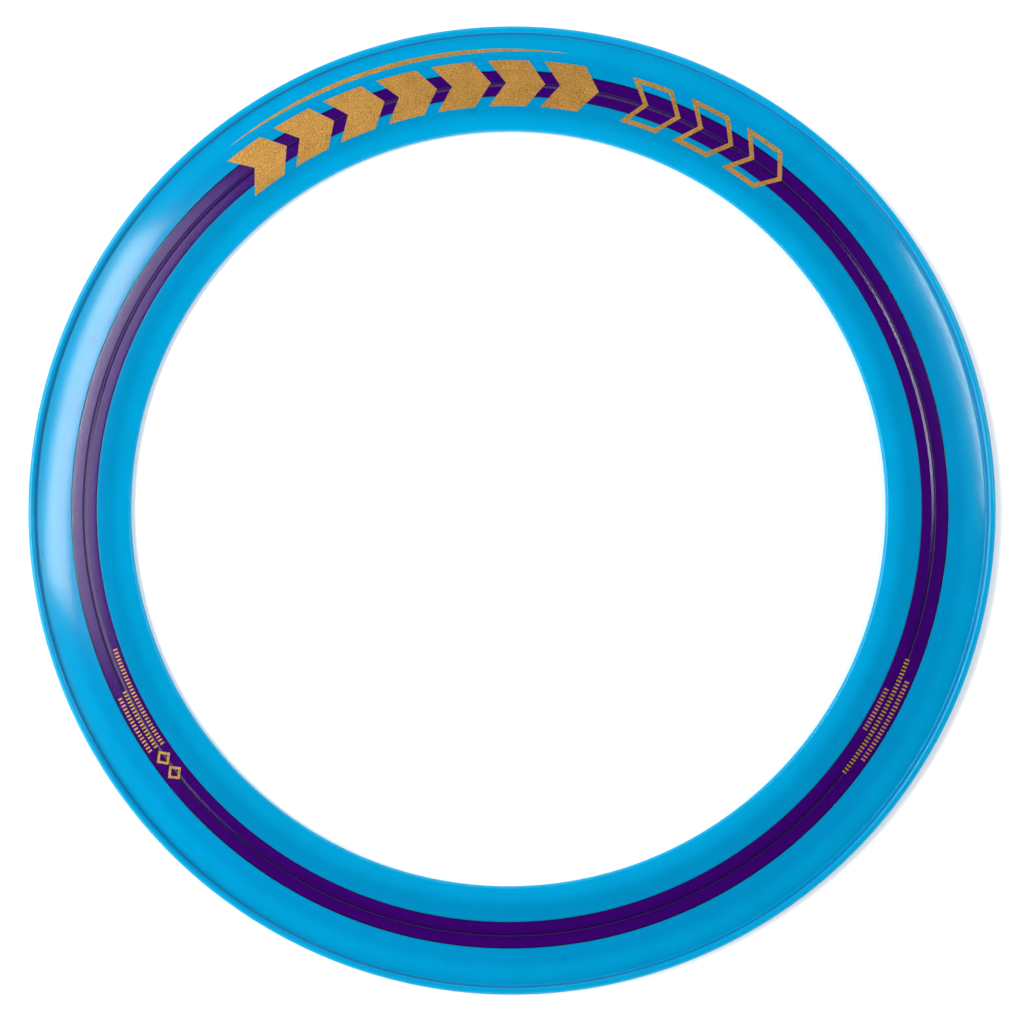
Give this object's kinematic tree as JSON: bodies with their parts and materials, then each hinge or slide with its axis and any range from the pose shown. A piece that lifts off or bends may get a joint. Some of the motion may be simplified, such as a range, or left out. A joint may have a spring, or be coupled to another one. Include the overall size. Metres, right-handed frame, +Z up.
{
  "type": "flying ring",
  "caption": "Flat flying disc in the form of an open ring: stiff core band between soft inner and outer rims, raised outer lip, foil chevrons.",
  "frame": {"origin": "centre of the ring, on the plane of the rims' undersides that it rests on", "axes": "+Z up out of the top face, along the spin axis; +Y points to the top of the picture's view, so the chevrons lie at the +Y side"},
  "size_m": [0.33, 0.33, 0.0037],
  "materials": {
    "core_plastic": "deep purple polycarbonate, fine satin grain",
    "inner_rim_rubber": "bright cyan-blue soft elastomer, smooth satin",
    "outer_rim_rubber": "bright cyan-blue soft elastomer, fine grained top",
    "gold_foil": "satin hot-stamped gold foil"
  },
  "bodies": {
    "root": {"core_ring": "core_plastic", "inner_rim": "inner_rim_rubber", "outer_rim": "outer_rim_rubber", "foil_bold_chevrons_left": "gold_foil", "foil_bold_chevrons_middle": "gold_foil", "foil_bold_chevrons_right": "gold_foil", "foil_open_chevrons": "gold_foil", "foil_stripe": "gold_foil", "foil_diamonds": "gold_foil", "foil_left_marks": "gold_foil", "foil_right_marks": "gold_foil"}
  },
  "joints": []
}
